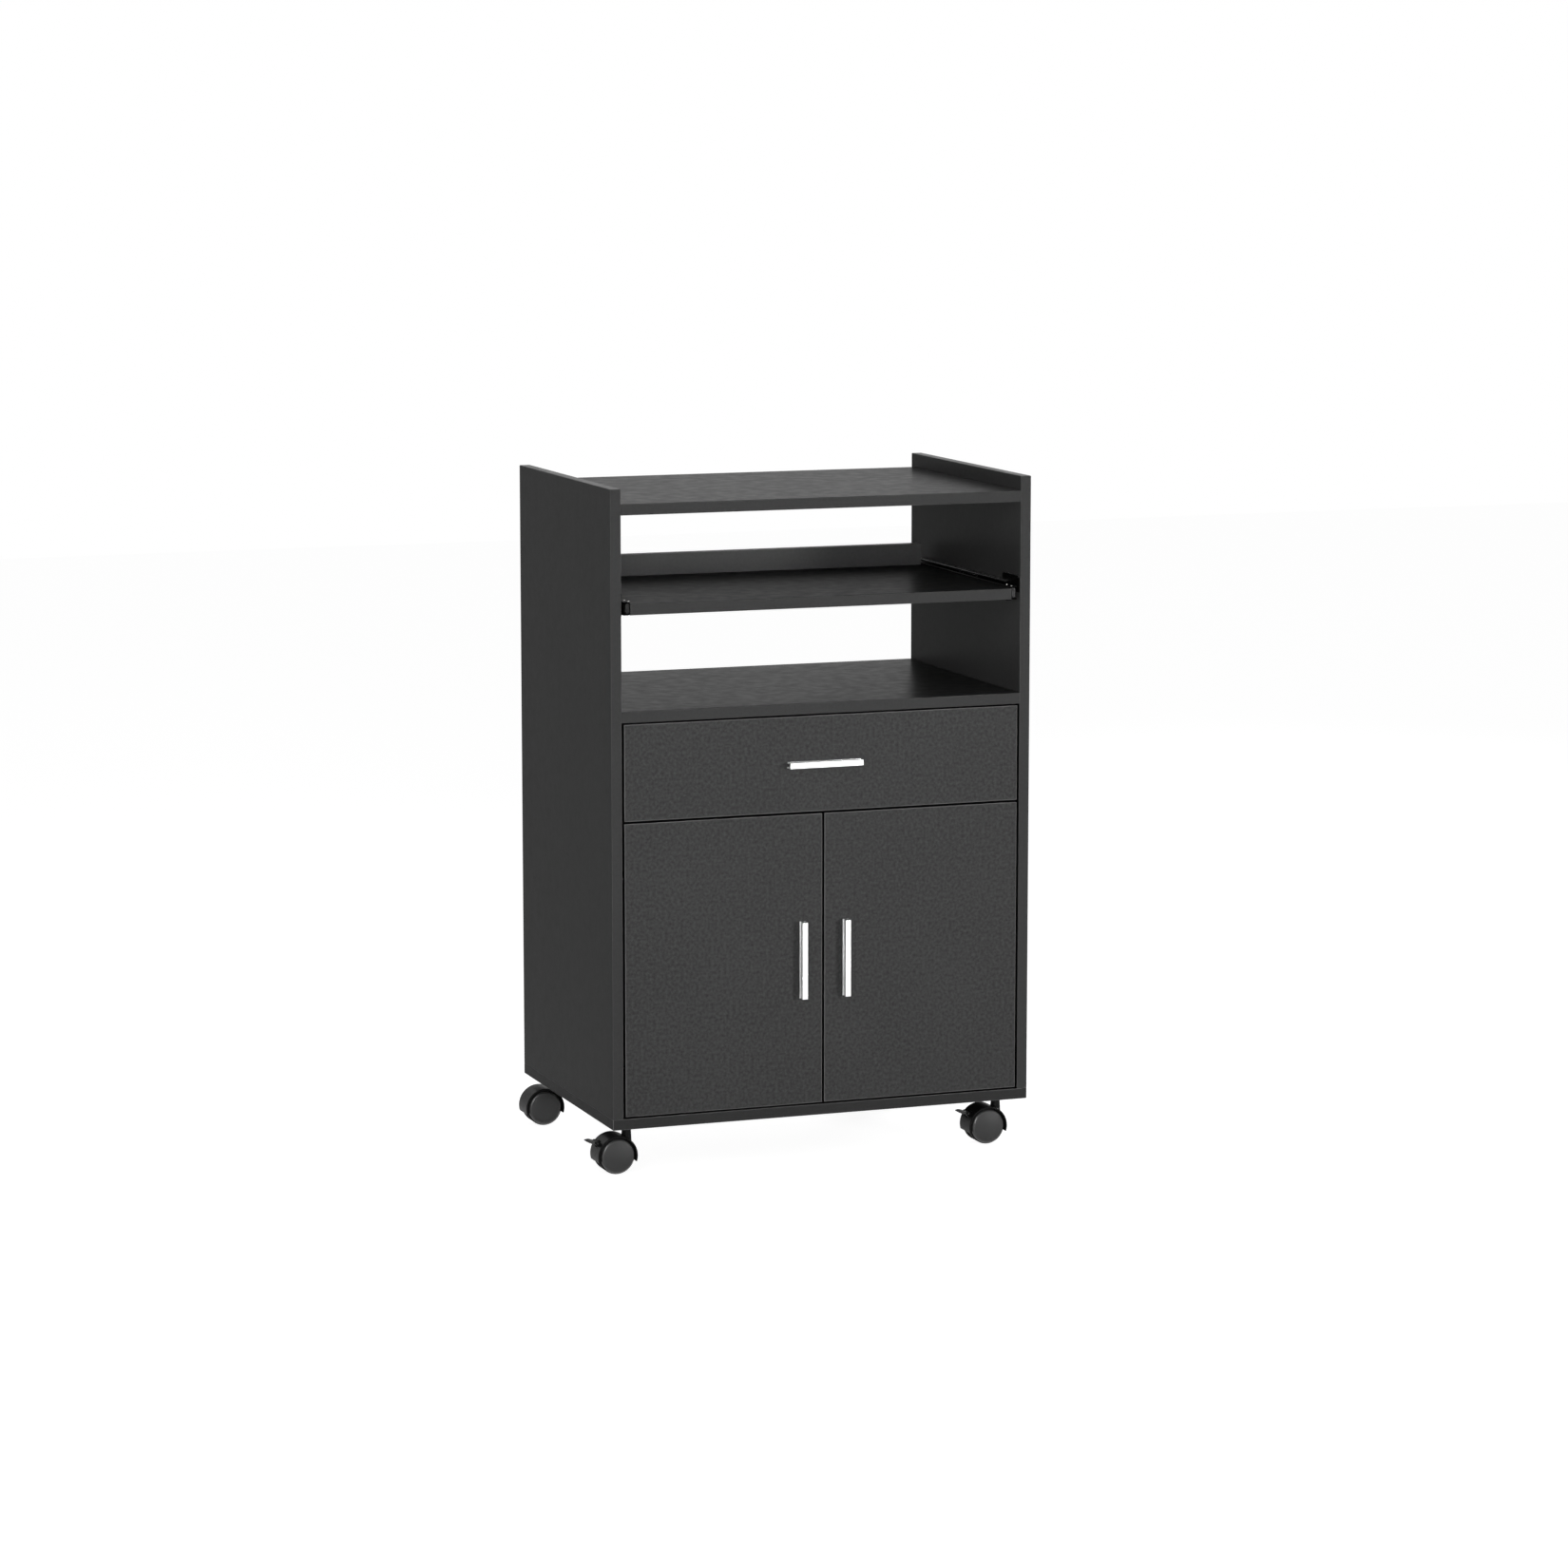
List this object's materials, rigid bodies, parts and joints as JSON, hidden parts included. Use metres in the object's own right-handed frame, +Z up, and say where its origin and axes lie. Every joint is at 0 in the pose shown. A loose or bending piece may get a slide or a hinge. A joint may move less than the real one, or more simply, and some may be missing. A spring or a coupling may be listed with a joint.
{
  "type": "kitchen trolley",
  "caption": "Kitchen trolley of coated board on swivel casters, with an open bay, a pull-out shelf, a drawer with a bar handle and a cupboard with doors.",
  "frame": {"origin": "on the floor, under the middle of the board carcass", "axes": "+X to the right seen from the front, -Y out of the front, +Z up"},
  "size_m": [0.6288, 0.414, 0.9255],
  "materials": {
    "charcoal_board": "charcoal melamine on chipboard, satin, with matching edging",
    "charcoal_front": "charcoal melamine on chipboard, fine pebbled grain",
    "inner_board": "charcoal melamine on chipboard, satin",
    "hardboard": "thin hardboard with a charcoal paper face",
    "handle_metal": "satin anodised extrusion",
    "black_rail": "black coated rolled steel",
    "plated_steel": "bright zinc or nickel plating",
    "caster_plastic": "moulded black plastic",
    "wheel_plastic": "moulded black nylon, satin",
    "stop_plastic": "moulded dark grey nylon"
  },
  "bodies": {
    "carcass": {"bottom_panel": "charcoal_board", "left_side_panel": "charcoal_board", "right_side_panel": "charcoal_board", "top_shelf": "charcoal_board", "middle_shelf": "charcoal_board", "back_panel": "hardboard", "inner_shelf": "inner_board", "shelf_pins": "plated_steel", "cam_locks": "plated_steel", "cam_bolts": "plated_steel", "bottom_screws": "plated_steel", "pullout_outer_rails": "black_rail", "drawer_outer_rails": "black_rail", "left_hinge_arms": "black_rail", "right_hinge_arms": "black_rail", "caster_stems": "plated_steel", "caster_sockets": "caster_plastic"},
    "pullout": {"pullout_shelf": "charcoal_board", "pullout_lip": "charcoal_board", "lip_screws": "plated_steel", "pullout_inner_rails": "black_rail", "pullout_rail_stops": "stop_plastic"},
    "pullout_cages": {"pullout_ball_cages": "plated_steel"},
    "drawer": {"drawer_front": "charcoal_front", "drawer_left_side": "inner_board", "drawer_right_side": "inner_board", "drawer_back": "inner_board", "drawer_bottom": "hardboard", "drawer_handle": "handle_metal", "drawer_handle_screws": "plated_steel", "drawer_inner_rails": "black_rail"},
    "drawer_cages": {"drawer_ball_cages": "plated_steel"},
    "left_door_leaf": {"left_door": "charcoal_front", "left_door_handle": "handle_metal", "left_door_handle_screws": "plated_steel", "left_hinge_cups": "black_rail", "left_hinge_pins": "black_rail"},
    "right_door_leaf": {"right_door": "charcoal_front", "right_door_handle": "handle_metal", "right_door_handle_screws": "plated_steel", "right_hinge_cups": "black_rail", "right_hinge_pins": "black_rail"},
    "front_left_caster": {"front_left_caster_hood": "caster_plastic", "front_left_caster_axle": "plated_steel"},
    "front_left_fore_wheel": {"front_left_fore_wheel": "wheel_plastic"},
    "front_left_aft_wheel": {"front_left_aft_wheel": "wheel_plastic"},
    "front_left_brake_lever": {"front_left_brake_lever": "caster_plastic"},
    "front_right_caster": {"front_right_caster_hood": "caster_plastic", "front_right_caster_axle": "plated_steel"},
    "front_right_fore_wheel": {"front_right_fore_wheel": "wheel_plastic"},
    "front_right_aft_wheel": {"front_right_aft_wheel": "wheel_plastic"},
    "front_right_brake_lever": {"front_right_brake_lever": "caster_plastic"},
    "back_left_caster": {"back_left_caster_hood": "caster_plastic", "back_left_caster_axle": "plated_steel"},
    "back_left_fore_wheel": {"back_left_fore_wheel": "wheel_plastic"},
    "back_left_aft_wheel": {"back_left_aft_wheel": "wheel_plastic"},
    "back_right_caster": {"back_right_caster_hood": "caster_plastic", "back_right_caster_axle": "plated_steel"},
    "back_right_fore_wheel": {"back_right_fore_wheel": "wheel_plastic"},
    "back_right_aft_wheel": {"back_right_aft_wheel": "wheel_plastic"}
  },
  "joints": [
    {"name": "pullout_slide", "type": "slide", "parent": "carcass", "child": "pullout", "axis": [0, -1, 0], "range_m": [0, 0.23]},
    {"name": "pullout_cage_slide", "type": "slide", "parent": "carcass", "child": "pullout_cages", "axis": [0, -1, 0], "range_m": [0, 0.116]},
    {"name": "drawer_slide", "type": "slide", "parent": "carcass", "child": "drawer", "axis": [0, -1, 0], "range_m": [0, 0.23]},
    {"name": "drawer_cage_slide", "type": "slide", "parent": "carcass", "child": "drawer_cages", "axis": [0, -1, 0], "range_m": [0, 0.116]},
    {"name": "left_door_swing", "type": "hinge", "parent": "carcass", "child": "left_door_leaf", "pos_m": [-0.2725, -0.192, 0.28125], "axis": [0, 0, -1], "range_deg": [0, 95]},
    {"name": "right_door_swing", "type": "hinge", "parent": "carcass", "child": "right_door_leaf", "pos_m": [0.2725, -0.192, 0.28125], "axis": [0, 0, 1], "range_deg": [0, 95]},
    {"name": "front_left_swivel", "type": "hinge", "parent": "carcass", "child": "front_left_caster", "pos_m": [-0.269, -0.162, 0], "axis": [0, 0, 1], "continuous": true},
    {"name": "front_left_fore_wheel_spin", "type": "hinge", "parent": "front_left_caster", "child": "front_left_fore_wheel", "pos_m": [-0.2865, -0.162, 0.025], "axis": [0, 1, 0], "continuous": true},
    {"name": "front_left_aft_wheel_spin", "type": "hinge", "parent": "front_left_caster", "child": "front_left_aft_wheel", "pos_m": [-0.2865, -0.162, 0.025], "axis": [0, 1, 0], "continuous": true},
    {"name": "front_left_brake_press", "type": "hinge", "parent": "front_left_caster", "child": "front_left_brake_lever", "pos_m": [-0.31189, -0.162, 0.04278], "axis": [0, -1, 0], "range_deg": [0, 20]},
    {"name": "front_right_swivel", "type": "hinge", "parent": "carcass", "child": "front_right_caster", "pos_m": [0.269, -0.162, 0], "axis": [0, 0, 1], "continuous": true},
    {"name": "front_right_fore_wheel_spin", "type": "hinge", "parent": "front_right_caster", "child": "front_right_fore_wheel", "pos_m": [0.2515, -0.162, 0.025], "axis": [0, 1, 0], "continuous": true},
    {"name": "front_right_aft_wheel_spin", "type": "hinge", "parent": "front_right_caster", "child": "front_right_aft_wheel", "pos_m": [0.2515, -0.162, 0.025], "axis": [0, 1, 0], "continuous": true},
    {"name": "front_right_brake_press", "type": "hinge", "parent": "front_right_caster", "child": "front_right_brake_lever", "pos_m": [0.22611, -0.162, 0.04278], "axis": [0, -1, 0], "range_deg": [0, 20]},
    {"name": "back_left_swivel", "type": "hinge", "parent": "carcass", "child": "back_left_caster", "pos_m": [-0.269, 0.162, 0], "axis": [0, 0, 1], "continuous": true},
    {"name": "back_left_fore_wheel_spin", "type": "hinge", "parent": "back_left_caster", "child": "back_left_fore_wheel", "pos_m": [-0.2865, 0.162, 0.025], "axis": [0, 1, 0], "continuous": true},
    {"name": "back_left_aft_wheel_spin", "type": "hinge", "parent": "back_left_caster", "child": "back_left_aft_wheel", "pos_m": [-0.2865, 0.162, 0.025], "axis": [0, 1, 0], "continuous": true},
    {"name": "back_right_swivel", "type": "hinge", "parent": "carcass", "child": "back_right_caster", "pos_m": [0.269, 0.162, 0], "axis": [0, 0, 1], "continuous": true},
    {"name": "back_right_fore_wheel_spin", "type": "hinge", "parent": "back_right_caster", "child": "back_right_fore_wheel", "pos_m": [0.2515, 0.162, 0.025], "axis": [0, 1, 0], "continuous": true},
    {"name": "back_right_aft_wheel_spin", "type": "hinge", "parent": "back_right_caster", "child": "back_right_aft_wheel", "pos_m": [0.2515, 0.162, 0.025], "axis": [0, 1, 0], "continuous": true}
  ],
  "couplings": [
    {"joint": "pullout_cage_slide", "follows": "pullout_slide", "ratio": 0.5},
    {"joint": "drawer_cage_slide", "follows": "drawer_slide", "ratio": 0.5}
  ]
}
